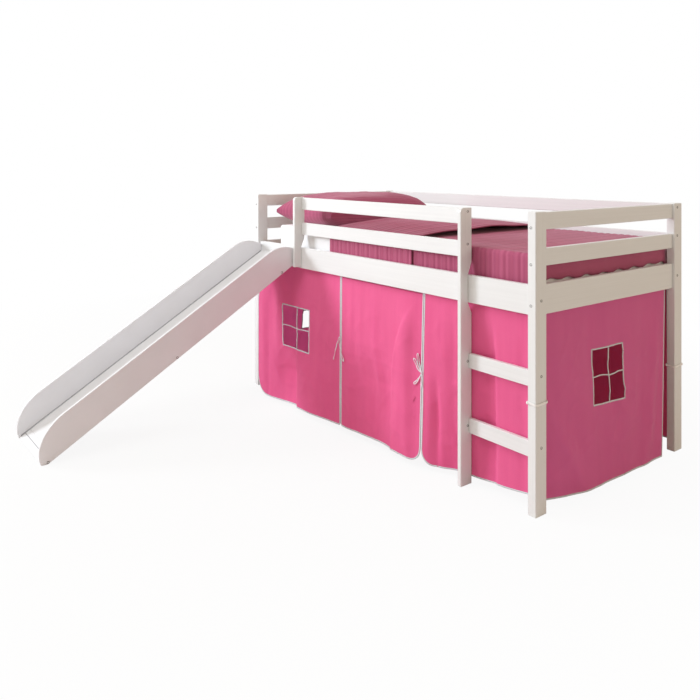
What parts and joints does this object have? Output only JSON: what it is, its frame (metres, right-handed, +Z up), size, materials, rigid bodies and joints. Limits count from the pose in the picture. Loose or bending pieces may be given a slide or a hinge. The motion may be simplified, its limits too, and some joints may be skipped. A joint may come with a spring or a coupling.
{
  "type": "loft bed with slide",
  "caption": "Low loft bed with a side slide, a ladder, guard rails, a slatted base with bedding, and a cloth play tent with windows and a door under the deck.",
  "frame": {"origin": "middle of the foot of the front post at the head end", "axes": "X along the bed from the head to the foot, Y from the open front to the back, Z up"},
  "size_m": [2.0452, 2.342, 1.1084],
  "materials": {
    "white_paint": "satin white paint on pine",
    "slide_paint": "smooth white laminate on board",
    "base_wood": "bare planed pine",
    "tent_cotton": "plain woven cotton, matt",
    "tent_tape": "woven tape, matt",
    "sheet_cotton": "fitted cotton sheet, matt",
    "quilt_cotton": "channel quilted cotton, matt"
  },
  "bodies": {
    "root": {"back_guard_middle": "white_paint", "back_guard_top": "white_paint", "foot_rail_middle": "white_paint", "foot_rail_top": "white_paint", "foot_rail_wide": "white_paint", "guard_rail_middle": "white_paint", "guard_rail_top": "white_paint", "guard_upright": "white_paint", "head_rail_middle": "white_paint", "head_rail_top": "white_paint", "head_rail_wide": "white_paint", "ladder_rung_1": "white_paint", "ladder_rung_2": "white_paint", "ladder_upright": "white_paint", "mattress": "sheet_cotton", "pillow": "quilt_cotton", "post_back_foot": "white_paint", "post_back_head": "white_paint", "post_front_foot": "white_paint", "post_front_head": "white_paint", "quilt": "quilt_cotton", "quilt_fold": "quilt_cotton", "side_rail_back": "white_paint", "side_rail_front": "white_paint", "slat_01": "base_wood", "slat_02": "base_wood", "slat_03": "base_wood", "slat_04": "base_wood", "slat_05": "base_wood", "slat_06": "base_wood", "slat_07": "base_wood", "slat_08": "base_wood", "slat_09": "base_wood", "slat_10": "base_wood", "slat_11": "base_wood", "slat_12": "base_wood", "slat_ledge_back": "base_wood", "slat_ledge_front": "base_wood", "slide_bed": "slide_paint", "slide_crossbar_1": "slide_paint", "slide_crossbar_2": "slide_paint", "slide_crossbar_3": "slide_paint", "slide_ledger": "slide_paint", "slide_side_foot": "slide_paint", "slide_side_head": "slide_paint", "tent_back": "tent_cotton", "tent_door_header": "tent_cotton", "tent_foot": "tent_cotton", "tent_front_foot": "tent_cotton", "tent_front_head": "tent_cotton", "tent_head": "tent_cotton", "tent_strap_back_foot": "tent_tape", "tent_strap_back_head": "tent_tape", "tent_strap_front_foot": "tent_tape"},
    "door": {"tent_door": "tent_cotton", "tent_bow_head": "tent_tape", "tent_bow_foot": "tent_tape"}
  },
  "joints": [
    {"name": "tent_door_lift", "type": "hinge", "parent": "root", "child": "door", "pos_m": [1.07, 0.00285, 0.7185], "axis": [1, 0, 0], "range_deg": [-75, 0]}
  ]
}
